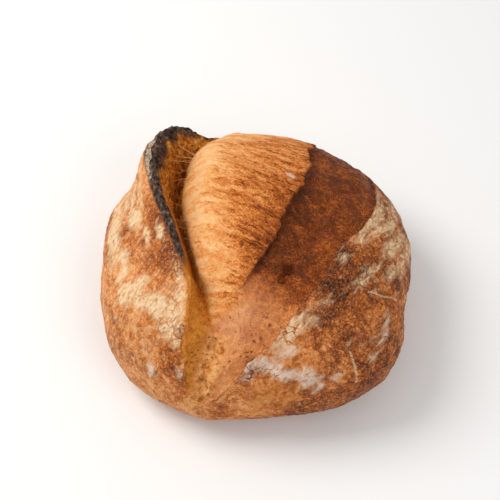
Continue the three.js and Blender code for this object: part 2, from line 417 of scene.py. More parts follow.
# ---- Where the oven darkened it and the basket floured it ----------------------------------
# Numbers are stored on the mesh for the finishes: how dark the bake is, how much flour clings, how
# charred the edge is. Marks go by the way along the slash and the millimetres off its nearest lip.
FLOUR_MARKS = [  # way, off the lip, half length, half width, turn, strength, chalkiness
    (76, -66, 34, 13, 64, 1.15, 0), (86, -34, 20, 7, 62, 0.8, 0), (88, -16, 14, 5, 70, 0.6, 0),
    (79, -33, 12, 7, 40, 1.25, 0), (73, -11, 8, 4.5, 60, 1.2, 0), (72, -26, 8, 4.5, 60, 0.95, 0),
    (63, -59, 10, 7, 30, 1.1, 0), (57, -60, 9, 7, 70, 1.1, 0), (50, -47, 13, 8, 10, 1.15, 0),
    (53, -37, 12, 6, 45, 1.15, 0), (49, -31, 12, 7, 0, 1.1, 0), (49, -19, 11, 7, 25, 1.2, 0),
    (60, -5, 14, 5, 95, 0.9, 0), (53, -6, 11, 7, 80, 1.05, 0), (47, -9, 13, 9, 45, 1.15, 0),
    (41, -8, 10, 9, 60, 1.15, 0), (36, -4, 7, 4, 90, 0.8, 0), (98, -13, 26, 4, 84, 0.75, 0),
    (92, -40, 24, 6, 75, 0.8, 0), (94, -24, 20, 3.5, 80, 0.65, 0), (22, -22, 7, 3, 80, 0.9, 0.7),
    (23, -3, 6, 2.5, 90, 0.85, 0.7), (116, 4, 38, 7, 90, 1.0, 0), (122, 20, 36, 14, 75, 1.05, 0),
    (90, 8, 9, 4, 50, 0.95, 0), (112, 36, 26, 11, 80, 1.05, 0), (91, 30, 22, 6, 70, 0.75, 0),
    (104, 52, 24, 9, 80, 0.9, 0), (103, 9, 18, 6, 90, 0.95, 0), (54, 5, 19, 7, 86, 1.3, 0.1),
    (61, 9, 9, 7, 60, 0.95, 0.1), (72, 10, 8, 5, 80, 0.4, 0), (47, 12, 8, 6, 30, 0.9, 0.8),
    (37, 5, 10, 6, 60, 1.1, 1), (38, 15, 8, 5, 30, 1.1, 1), (40, 26, 12, 6, 35, 1.2, 1),
    (44, 39, 9, 7, 0, 1.1, 1), (45, 50, 9, 4, -30, 0.75, 1), (30, 6, 6, 3, 60, 0.75, 1),
    (52, 56, 6, 3.5, 30, 0.65, 1), (76, 64, 12, 5, 115, 0.7, 0.6), (66, 69, 5, 3, 60, 0.7, 0.6),
    (70, 58, 10, 4, 60, 0.35, 0.5), (150, 60, 40, 20, 60, 0.7, 0), (150, -60, 40, 18, 120, 0.7, 0),
    (100, -90, 30, 8, 80, 0.5, 0), (100, 95, 34, 10, 80, 0.5, 0), (120, 60, 40, 12, 86, 1.05, 0),
]
FLOUR_GAPS = [  # way, off the lip, half length, half width, turn, strength
    (97, 11, 9, 5, 50, 0.85), (120, 13, 14, 2, 84, 0.5), (107, 18, 14, 2.4, 78, 0.7), (98, 33, 5, 3, 60, 0.6),
    (94, 20, 15, 3.5, 40, 0.5), (118, 28, 12, 1.6, 80, 0.35),
]


def off_mark(mark_way, place, half_length, half_width, turn):
    """How far each point lies from a long round-ended mark, which is 1 at the mark's edge."""
    over = off_lip - place
    ahead = (way - mark_way) * MM_PER_WAY
    turn = np.radians(turn)
    lengthways = over * np.cos(turn) + ahead * np.sin(turn)
    sideways_off = ahead * np.cos(turn) - over * np.sin(turn)
    return np.hypot(lengthways / half_length, sideways_off / half_width)


flour = np.zeros(across.shape)
chalk = np.zeros(across.shape)
for *mark, strength, chalky in FLOUR_MARKS:
    same_side = on_crust & (np.sign(off_lip) == np.sign(mark[1]))
    here = np.where(same_side, strength * (1 - ease((off_mark(*mark) - 0.35) / 1.05)), 0)
    chalk = np.where(here > flour, chalky, chalk)
    flour = np.maximum(flour, here)
for *gap, strength in FLOUR_GAPS:
    flour -= on_crust * strength * (1 - ease((off_mark(*gap) - 0.3) / 1.1))
flour = np.clip(flour, 0, None) * taper

# A pinch of flour on the bloom by the ledge, and the thin dust all over the left crust
PINCH_WAY = 110.4
PINCH_ACROSS = 96.7
PINCH_SIZE = 6.5
pinch = np.hypot((way - PINCH_WAY) * MM_PER_WAY / 0.8, across - PINCH_ACROSS) / PINCH_SIZE
flour += in_slash * 1.25 * (1 - ease(pinch))
dusted = (0.16 + 0.22 * (1 - ease((way - 42) / 12))) * ease((-off_lip - 8) / 14) * ease((way - 14) / 12)
flour += dusted * on_crust * off_base
near_lip = bell(off_lip, 0, 14) * on_crust * ease((70 - way) / 10)

# Fine scratches in the flour, and the pale crease of the fold, kept as the distance from them
SCRATCHES = [[(61.4, 46), (59.4, 57), (57.6, 68)], [(59.2, 60), (56.4, 76)], FOLD[1:5]]  # way, off the lip
NO_SCRATCH = 9.0
scratch = np.full(across.shape, NO_SCRATCH)
for line in SCRATCHES:
    scratch_line = [(off, scratch_way * MM_PER_WAY, 0) for scratch_way, off in line]
    scratch = np.where(across > width, np.minimum(scratch, off_line(crust_plane, scratch_line)), NO_SCRATCH)

# How dark the crust is: paler on the left, with patches that caught more or less of the heat
BAKE_PATCHES = [  # off the lip, way, spread across, spread of the way, how much darker
    (8, 82, 18, 12, 0.32), (30, 20, 26, 12, -0.1), (48, 87, 40, 10, 0.13),
    (-8, 28, 16, 11, 0.16), (-26, 67, 20, 8, 0.2),
]
on_left = across < 0
on_right = across > width
right_side = ease((skin[..., 0] + 10) / 50)
past_right = across - width
glow = np.exp(-((past_right - 34) / 26) ** 2 - ((way - 40 + 0.25 * past_right) / 22) ** 2) * on_right
crust_bake = 0.31 + 0.17 * right_side - 0.1 * glow + 0.14 * dents + 0.08 * lumps
crust_bake += 0.03 * (1 - ease(skin[..., 2] / 22)) - 0.08 * blisters
crust_bake += 0.26 * bell(across, -7, 9) * while_between(58, 8, 80, 10) * on_left
crust_bake -= 0.12 * ease((way - 84) / 12) * on_left
for off, patch_way, off_spread, way_spread, darker in BAKE_PATCHES:
    same_side = on_right if off > 0 else on_left
    far = ((off_lip - off) / off_spread) ** 2 + ((way - patch_way) / way_spread) ** 2
    crust_bake += darker * np.exp(-far) * same_side

# How dark the crumb is: palest up the side of the bloom, browner to the ledge, dark on the band
low_way = 1 - ease((way - 60) / 24)
crumb_bake = 0.145 + 0.32 * ease((across - crevice - 0.45 * flank) / 42) + 0.14 * ease((past_ledge + 16) / 16)
crumb_bake += 0.07 * strand_lumps + 0.07 * low_way - 0.08 * ease((way - 97) / 10)
crumb_bake += 0.11 * bell(past_ledge, -7, 10) * while_between(70, 12, 104, 12)
band_bake = blend(0.4, 0.86, ease((way - 54) / 26)) - 0.06 * ease((share_across - 0.9) / 0.1)
band_bake += 0.15 * ease((across - crevice - 12) / 20) * low_way - 0.06 * while_between(44, 10, 60, 10)
# A dark strip just past the ledge: painted shadow under the torn lip
band_bake += 0.16 * bell(past_ledge, 0, 4) * ease((way - 60) / 10)
# Darker on lumps and wrinkles, and a little darker inside the gas holes as painted shade
band_bake += 0.06 * lumps + 0.05 * wrinkle + 0.04 * hole_mask
crumb_bake = blend(crumb_bake, band_bake, band)
bake = np.where(on_crust, crust_bake, crumb_bake)

# Painted shade that grows with how deep in the crevice the crumb is, where pores show, and what burnt black
# or to ash
painted_crevice_shade = in_slash * (1 - ease((lift + 9) / 10)) * ease((way - 42) / 20) * ease((172 - way) / 20)
painted_crevice_shade *= 1 - 0.5 * inner_wall * torn
painted_crevice_shade *= 1 - ease((across - crevice - 0.45 * flank) / 8)
pores = band * bell(width - across, 8, 6) * while_between(26, 8, 74, 10)
pores = np.maximum(pores, 0.55 * low_band)
pores = np.maximum(pores, 0.36 * inner_wall * (1 - torn) * ease((way - 20) / 10))
ear_end = ease((way - 94) / 12)
charred_edge = ease((across + 6 + 5 * ear_end) / (7 + 4 * ear_end))
charred_edge *= 1 - ease((wall + 0.02) / (0.16 + 0.3 * ear_end))
charred_edge *= 1 - 0.35 * ease((across / rim - 0.55) / 0.45)
char = charred_edge * ease((ear - 0.8) / 3.6) * (1 - 0.3 * ease((way - 113) / 9))
char *= in_slash | on_left
burnt_wall = inner_wall * (1 - ease((wall - 0.1) / 0.5)) * ease((way - 92) / 12)
char = np.clip(char + burnt_wall * (0.22 + 0.5 * clouds(skin, 6, 2, 17)), 0, 1)
ash = (1 - ease((across / rim - 0.4) / 0.6)) * ease((way - 84) / 12)
ash *= ease((clouds(grain / np.array([1, 2.2, 1]), 5, 2, 22) + 0.7) / 1.0)

# Threads of gluten still drawn from the ear's torn wall to the side of the bloom, each a closed tube
STRANDS = [  # way, share of the way down the wall, share of the way up the bloom, slant, thickness
    (119, 0.5, 0.34, -8, 0.1), (117.5, 0.35, 0.36, -6, 0.14), (116, 0.6, 0.3, -5, 0.09),
    (113, 0.45, 0.32, -2, 0.14), (111.5, 0.6, 0.28, -1, 0.09), (109, 0.5, 0.3, 0, 0.13),
    (106, 0.65, 0.26, 1, 0.09), (101, 0.6, 0.2, 1, 0.1), (84, 0.7, 0.16, -1, 0.1),
    (79, 0.6, 0.14, 1, 0.12), (76, 0.7, 0.15, -1, 0.1), (71, 0.7, 0.12, 1, 0.1),
]
STATIONS = 9
SPOKES = 6
THREAD_SAG = 0.5
THREAD_SWAY = 0.4
THREAD_FOOT = 1.3  # how much thicker a thread is where it leaves the crumb
tube_points = []
tube_faces = []
rows, columns = across.shape
first_free = rows * columns + 2
for number, (place, down_wall, up_flank, slant, thick) in enumerate(STRANDS):
    row = int(np.abs(way[:, 0] - place).argmin())
    end_row = int(np.abs(way[:, 0] - place - slant).argmin())
    start_column = int(np.abs(wall[row] - down_wall).argmin())
    end_column = int(np.abs(across[end_row] - (crevice + up_flank * flank)[end_row]).argmin())
    start = skin[row, start_column]
    run = skin[end_row, end_column] - start
    aim_along = run / np.linalg.norm(run)
    beside = np.cross(aim_along, [0.1, 0.0, 1.0])
    beside /= np.linalg.norm(beside)
    above = np.cross(beside, aim_along)
    base = first_free + len(tube_points)
    for station in range(STATIONS):
        share = station / (STATIONS - 1)
        sag = 4 * share * (1 - share)
        centre = start - aim_along + (run + 2 * aim_along) * share
        centre = centre - above * THREAD_SAG * sag + beside * THREAD_SWAY * np.sin(4 * share + 2 * number)
        radius = thick * (1 + THREAD_FOOT * (1 - sag))
        for spoke in range(SPOKES):
            turn = 2 * np.pi * spoke / SPOKES
            tube_points.append(centre + radius * (np.cos(turn) * beside + np.sin(turn) * above))
    for station in range(STATIONS - 1):
        ring = base + station * SPOKES
        for spoke in range(SPOKES):
            following = ring + (spoke + 1) % SPOKES
            tube_faces.append((ring + spoke, following, following + SPOKES, ring + spoke + SPOKES))
    tube_faces.append(tuple(base + spoke for spoke in reversed(range(SPOKES))))
    tube_faces.append(tuple(base + (STATIONS - 1) * SPOKES + spoke for spoke in range(SPOKES)))

# The mesh: one ring of points for each row, a point at each end, and the threads
front = plain_loaf(np.array(0.0), np.array(0.0)) + shift
back = plain_loaf(np.array(0.0), np.array(np.pi)) + shift
points = np.concatenate([skin.reshape(-1, 3), front[None], back[None], np.array(tube_points)])
points = points / MM_PER_METRE
faces = []
for row in range(rows - 1):
    start = row * columns
    for column in range(columns):
        beside = (column + 1) % columns
        faces.append((start + column, start + beside, start + columns + beside, start + columns + column))
last = (rows - 1) * columns
for column in range(columns):
    beside = (column + 1) % columns
    faces.append((rows * columns, beside, column))
    faces.append((rows * columns + 1, last + column, last + beside))

mesh = bpy.data.meshes.new("baked_loaf")
mesh.from_pydata(points.tolist(), [], faces + tube_faces)
mesh.polygons.foreach_set("use_smooth", np.ones(len(mesh.polygons), bool))
crumb_row = np.zeros(columns, np.int32)
crumb_row[left_crust_columns:left_crust_columns + crumb_columns] = 1
materials_of_faces = np.concatenate([
    np.tile(crumb_row, rows - 1),
    np.zeros(2 * columns, np.int32),
    np.ones(len(tube_faces), np.int32),
])
mesh.polygons.foreach_set("material_index", materials_of_faces)
fields = {"bake": bake, "flour": flour, "chalk": chalk, "scratch": scratch, "glow": glow, "char": char,
          "ash": ash, "painted_crevice_shade": painted_crevice_shade, "band": band, "wall": inner_wall, "torn": torn + 0 * across,
          "low_band": low_band, "crumb_floor": crumb_floor, "pores": pores, "near_lip": near_lip}
# The threads across the crevice take some of its painted shade
ON_THREADS = {"scratch": NO_SCRATCH, "painted_crevice_shade": 0.45}
for name, values in fields.items():
    layer = mesh.attributes.new(name, "FLOAT", "POINT")
    spare = np.full(2 + len(tube_points), ON_THREADS.get(name, 0.0))
    layer.data.foreach_set("value", np.append(values.ravel(), spare).astype(np.float32))
layer = mesh.attributes.new("grain", "FLOAT_VECTOR", "POINT")
spare = np.zeros((2 + len(tube_points), 3))
layer.data.foreach_set("vector", np.append(grain.reshape(-1, 3) / MM_PER_METRE, spare).astype(np.float32))
mesh.update()
loaf = bpy.data.objects.new("baked_loaf", mesh)
bpy.context.scene.collection.objects.link(loaf)


# ---- The finish of the ear's burnt edge -------------------------------------------------------
# Where the thin edge of dough burnt, it is soot black with specks of ash. Crust and crumb both
# have it, so it is one group, which darkens the colour that it is given.
BLACK_SOOT = (0.012, 0.006, 0.005)
DULL_SOOT = (0.05, 0.028, 0.02)
BROWN_SOOT = (0.115, 0.075, 0.055)
GREY_SOOT = (0.3, 0.21, 0.15)
SCORCHED_RED = (0.15, 0.05, 0.02)
PALE_ASH = (0.52, 0.4, 0.29)
SINGED_BROWN = (0.075, 0.022, 0.006)


def link(tree, source, target):
    tree.links.new(source, target)


def add(tree, kind, **settings):
    node = tree.nodes.new(kind)
    for key, value in settings.items():
        setattr(node, key, value)
    return node


def ramp_node(tree, share, *stops):
    node = tree.nodes.new("ShaderNodeValToRGB")
    elements = node.color_ramp.elements
    while len(elements) < len(stops):
        elements.new(0.5)
    for element, (place, colour) in zip(elements, stops):
        element.position = place
        element.color = (*colour, 1)
    link(tree, share, node.inputs["Fac"])
    return node.outputs["Color"]


def noise_node(tree, where, per_metre, detail=2.0, roughness=0.5, colour=False):
    """Noise from 0 to 1, with about this many lumps to the metre."""
    node = add(tree, "ShaderNodeTexNoise")
    node.inputs["Scale"].default_value = per_metre
    node.inputs["Detail"].default_value = detail
    node.inputs["Roughness"].default_value = roughness
    link(tree, where, node.inputs["Vector"])
    return node.outputs["Color" if colour else "Fac"]


def math_node(tree, operation, *values, clamp=False):
    node = add(tree, "ShaderNodeMath", operation=operation, use_clamp=clamp)
    for socket, value in zip(node.inputs, values):
        if isinstance(value, (int, float)):
            socket.default_value = value
        else:
            link(tree, value, socket)
    return node.outputs[0]


def added(tree, total, *values):
    for value in values:
        total = math_node(tree, "ADD", total, value)
    return total


def times(tree, total, *values):
    for value in values:
        total = math_node(tree, "MULTIPLY", total, value)
    return total


def sway(tree, value, amount):
    """A noise value from 0 to 1, turned to swing by half the amount each way."""
    return math_node(tree, "MULTIPLY_ADD", value, amount, -amount / 2)


def range_node(tree, value, low, high, to_low=0.0, to_high=1.0):
    node = add(tree, "ShaderNodeMapRange", interpolation_type="SMOOTHSTEP")
    link(tree, value, node.inputs["Value"])
    node.inputs["From Min"].default_value = low
    node.inputs["From Max"].default_value = high
    node.inputs["To Min"].default_value = to_low
    node.inputs["To Max"].default_value = to_high
    return node.outputs["Result"]


def mix_colours(tree, share, first, second):
    node = add(tree, "ShaderNodeMix", data_type="RGBA")
    for index, value in ((0, share), (6, first), (7, second)):
        if isinstance(value, tuple):
            node.inputs[index].default_value = (*value, 1)
        else:
            link(tree, value, node.inputs[index])
    return node.outputs[2]


def stored(tree, name):
    return add(tree, "ShaderNodeAttribute", attribute_name=name).outputs["Fac"]


def nudged(tree, where, per_metre, amount):
    """The place, pushed to and fro by noise so that patterns laid on it don't look ruled."""
    node = add(tree, "ShaderNodeVectorMath", operation="MULTIPLY_ADD")
    link(tree, noise_node(tree, where, per_metre, 2, colour=True), node.inputs[0])
    node.inputs[1].default_value = (amount, amount, amount)
    link(tree, where, node.inputs[2])
    return node.outputs[0]


charring = bpy.data.node_groups.new("charring", "ShaderNodeTree")
SOCKETS = [
    ("Place", "INPUT", "NodeSocketVector"), ("Colour", "INPUT", "NodeSocketColor"),
    ("Amount", "INPUT", "NodeSocketFloat"), ("Ash", "INPUT", "NodeSocketFloat"),
    ("Colour", "OUTPUT", "NodeSocketColor"), ("Burnt", "OUTPUT", "NodeSocketFloat"),
]
for socket_name, direction, kind in SOCKETS:
    charring.interface.new_socket(socket_name, in_out=direction, socket_type=kind)
given = charring.nodes.new("NodeGroupInput").outputs
made = charring.nodes.new("NodeGroupOutput").inputs
breakup = noise_node(charring, given["Place"], 240, 4, 0.65)
burnt = added(charring, given["Amount"], sway(charring, breakup, 1.3))
burnt = range_node(charring, burnt, 0.28, 0.62)
grit = noise_node(charring, given["Place"], 300, 4, 0.62)
soot = ramp_node(charring, grit, (0.34, BLACK_SOOT), (0.48, DULL_SOOT), (0.6, BROWN_SOOT), (0.74, GREY_SOOT))
scorched = range_node(charring, noise_node(charring, given["Place"], 150, 3), 0.46, 0.62, 0.0, 0.75)
soot = mix_colours(charring, times(charring, scorched, given["Ash"]), soot, SCORCHED_RED)
flakes = noise_node(charring, given["Place"], 420, 3, 0.65)
flaking = added(charring, given["Ash"], sway(charring, flakes, 4.5))
ash_flakes = range_node(charring, times(charring, flaking, given["Ash"]), 0.3, 1.1, 0.0, 0.8)
soot = mix_colours(charring, ash_flakes, soot, PALE_ASH)
singeing = range_node(charring, given["Amount"], 0.0, 0.5, 0.0, 0.8)
singed = mix_colours(charring, singeing, given["Colour"], SINGED_BROWN)
link(charring, mix_colours(charring, burnt, singed, soot), made["Colour"])
link(charring, burnt, made["Burnt"])


def charred(tree, place, colour):
    burn = add(tree, "ShaderNodeGroup", node_tree=charring)
    link(tree, place, burn.inputs["Place"])
    link(tree, colour, burn.inputs["Colour"])
    link(tree, stored(tree, "char"), burn.inputs["Amount"])
    link(tree, stored(tree, "ash"), burn.inputs["Ash"])
    return burn.outputs["Colour"], burn.outputs["Burnt"]


# ---- The finish of the crust ----------------------------------------------------------------
# The basket side of the dough: a thin amber skin of small flat blisters in a darker net, with rice
# flour from the basket, brushed on in streaks, that cracked in places as the loaf grew.
BLISTERS_PER_METRE = 350
BUBBLES_PER_METRE = 190
CRACKS_PER_METRE = 150
STREAK_TURN = np.radians(-72)
BREAD_SHEEN = 0.16
FLOUR_COVER = 0.93
PALE_CRUST = (0.76, 0.36, 0.14)
AMBER_CRUST = (0.59, 0.205, 0.05)
CHESTNUT_CRUST = (0.37, 0.094, 0.014)
BROWN_CRUST = (0.17, 0.038, 0.006)
DARK_CRUST = (0.04, 0.011, 0.004)
DRAWN_AMBER = (0.56, 0.2, 0.035)
PALE_SPECK = (0.72, 0.38, 0.18)
CREAM_SHADE = (0.68, 0.43, 0.22)
CREAM_FLOUR = (0.87, 0.64, 0.4)
CHALK_SHADE = (0.56, 0.39, 0.28)
CHALK_FLOUR = (0.78, 0.6, 0.48)


def cells_node(tree, where, per_metre, feature="F1"):
    node = add(tree, "ShaderNodeTexVoronoi", feature=feature)
    node.inputs["Scale"].default_value = per_metre
    link(tree, where, node.inputs["Vector"])
    return node.outputs


def chance_of(tree, cells):
    """A number from 0 to 1 that is the same all over one cell."""
    node = add(tree, "ShaderNodeSeparateColor")
    link(tree, cells["Color"], node.inputs["Color"])
    return node.outputs[0]


def scaled(tree, where, scale):
    node = add(tree, "ShaderNodeMapping")
    node.inputs["Scale"].default_value = scale
    link(tree, where, node.inputs["Vector"])
    return node.outputs["Vector"]


def roughened(tree, shader, height, strength, distance):
    bump = add(tree, "ShaderNodeBump")
    bump.inputs["Strength"].default_value = strength
    bump.inputs["Distance"].default_value = distance
    link(tree, height, bump.inputs["Height"])
    link(tree, bump.outputs["Normal"], shader.inputs["Normal"])


def crust_finish():
    material = bpy.data.materials.new("crust")
    material.use_nodes = True
    tree = material.node_tree
    shader = tree.nodes["Principled BSDF"]
    place = add(tree, "ShaderNodeTexCoord").outputs["Object"]
    drawn_smooth = range_node(tree, stored(tree, "glow"), 0.35, 0.85)

    # Flat blisters of different browns in a darker net, and a few larger, paler bubbles
    wavy = nudged(tree, nudged(tree, place, 90, 0.006), 330, 0.0022)
    blister_edge = cells_node(tree, wavy, BLISTERS_PER_METRE, "DISTANCE_TO_EDGE")["Distance"]
    blister_shade = chance_of(tree, cells_node(tree, wavy, BLISTERS_PER_METRE))
    net = range_node(tree, blister_edge, 0.03, 0.24, 1.0, 0.0)
    net_on_glow = range_node(tree, stored(tree, "glow"), 0.2, 0.7, 1.0, 0.25)
    net_on_brown = range_node(tree, stored(tree, "bake"), 0.25, 0.65, 0.4, 1.0)
    net = times(tree, net, net_on_glow, net_on_brown)
    bubble = cells_node(tree, wavy, BUBBLES_PER_METRE)
    bubbles = range_node(tree, bubble["Distance"], 0.2, 0.42, 1.0, 0.0)
    bubbles = times(tree, bubbles, range_node(tree, chance_of(tree, bubble), 0.6, 0.8))

    patches = noise_node(tree, place, 75, 3)
    mottle = noise_node(tree, place, 330, 3, 0.6)
    grains = noise_node(tree, place, 800, 2, 0.6)
    tone = added(tree, stored(tree, "bake"), sway(tree, patches, 0.6), sway(tree, mottle, 0.75),
                 sway(tree, grains, 0.5), sway(tree, blister_shade, 0.26))
    tone = math_node(tree, "MULTIPLY_ADD", net, 0.25, tone)
    tone = math_node(tree, "MULTIPLY_ADD", bubbles, -0.16, tone)
    tone = added(tree, tone, -0.08)
    colours = ramp_node(tree, tone, (0.0, PALE_CRUST), (0.22, AMBER_CRUST), (0.46, CHESTNUT_CRUST),
                        (0.7, BROWN_CRUST), (1.0, DARK_CRUST))

    # Streaks run slantwise over the loaf, the way the dough slid out of the basket
    turned = add(tree, "ShaderNodeVectorRotate", rotation_type="Z_AXIS")
    turned.inputs["Angle"].default_value = STREAK_TURN
    link(tree, nudged(tree, place, 60, 0.008), turned.inputs["Vector"])
    streaks = noise_node(tree, scaled(tree, turned.outputs[0], (0.16, 1.0, 0.6)), 300, 3, 0.6)
    combed = noise_node(tree, scaled(tree, turned.outputs[0], (0.22, 1.0, 0.8)), 680, 4, 0.68)
    smooth_streaks = times(tree, drawn_smooth, range_node(tree, streaks, 0.42, 0.62))
    colours = mix_colours(tree, smooth_streaks, colours, DRAWN_AMBER)
    specks = range_node(tree, noise_node(tree, place, 1000, 1), 0.6, 0.72, 0.0, 0.4)
    colours = mix_colours(tree, specks, colours, PALE_SPECK)

    # Flour clings in streaks and grains, and is missing from the cracks
    dusting = noise_node(tree, place, 190, 4, 0.7)
    amount = added(tree, stored(tree, "flour"), sway(tree, streaks, 2.6), sway(tree, dusting, 1.5),
                   sway(tree, grains, 0.9))
    amount = math_node(tree, "MULTIPLY_ADD", stored(tree, "chalk"), 0.3, amount)
    haze = range_node(tree, amount, 0.15, 1.0, 0.0, 0.5)
    floured = math_node(tree, "MAXIMUM", haze, range_node(tree, amount, 0.4, 1.35))
    crack = cells_node(tree, nudged(tree, place, 200, 0.006), CRACKS_PER_METRE, "DISTANCE_TO_EDGE")
    cracked = range_node(tree, crack["Distance"], 0.015, 0.085, 1.0, 0.0)
    crack_places = noise_node(tree, place, 70, 2)
    crack_places = math_node(tree, "MULTIPLY_ADD", stored(tree, "near_lip"), 0.16, crack_places)
    cracked = times(tree, cracked, range_node(tree, crack_places, 0.56, 0.64))
    floured = times(tree, floured, math_node(tree, "SUBTRACT", 1.0, cracked))
    scratched = range_node(tree, stored(tree, "scratch"), 0.2, 1.1, 0.75, 0.0)
    scratched = times(tree, scratched, range_node(tree, dusting, 0.28, 0.46))
    floured = math_node(tree, "MAXIMUM", floured, scratched, clamp=True)
    floured = times(tree, floured, range_node(tree, combed, 0.35, 0.44, 0.4, 1.0))
    cream = ramp_node(tree, combed, (0.36, CREAM_SHADE), (0.6, CREAM_FLOUR))
    chalky = ramp_node(tree, dusting, (0.34, CHALK_SHADE), (0.64, CHALK_FLOUR))
    powder = mix_colours(tree, stored(tree, "chalk"), cream, chalky)
    base = mix_colours(tree, times(tree, floured, FLOUR_COVER), colours, powder)
    base, burnt_here = charred(tree, place, base)
    link(tree, base, shader.inputs["Base Color"])

    dryness = math_node(tree, "MULTIPLY_ADD", mottle, 0.3, 0.42)
    dryness = math_node(tree, "MULTIPLY_ADD", floured, 0.3, dryness)
    link(tree, math_node(tree, "MAXIMUM", dryness, burnt_here, clamp=True), shader.inputs["Roughness"])
    shader.inputs["Specular IOR Level"].default_value = BREAD_SHEEN
    height = math_node(tree, "MULTIPLY_ADD", net, -0.7, times(tree, grains, 0.3))
    height = added(tree, height, math_node(tree, "MULTIPLY_ADD", mottle, 0.5, floured))
    roughened(tree, shader, height, 0.6, 0.0006)
    return material


# ---- The finish of the bloomed crumb -----------------------------------------------------------
# Bare dough that the oven drew out of the cut. It is cream where it tore last, golden over the
# bloom, and mahogany on the first skin beyond the ledge, with fibres drawn across the opening.
PORES_PER_METRE = 250
CREAM_CRUMB = (0.92, 0.54, 0.25)
GOLDEN_CRUMB = (0.84, 0.37, 0.115)
TOASTED_CRUMB = (0.67, 0.215, 0.042)
CHESTNUT_CRUMB = (0.42, 0.1, 0.013)
MAHOGANY_CRUMB = (0.19, 0.038, 0.004)
DARK_CRUMB = (0.085, 0.018, 0.003)
ROSY_CRUMB = (0.72, 0.34, 0.22)
CELL_HOLLOW = (0.36, 0.1, 0.014)
CELL_WALL = (0.68, 0.26, 0.055)
CELL_EDGE = (0.86, 0.5, 0.2)
DEEP_AMBER = (0.1, 0.016, 0.001)
DARK_AMBER = (0.3, 0.07, 0.003)
AMBER = (0.54, 0.18, 0.018)
BRIGHT_AMBER = (0.7, 0.3, 0.045)
STRAW = (0.85, 0.5, 0.14)
CREVICE_SHADE_COLOUR = (0.42, 0.21, 0.05)
PORE_BROWN = (0.2, 0.05, 0.012)
PINCHED_FLOUR = (0.85, 0.6, 0.5)


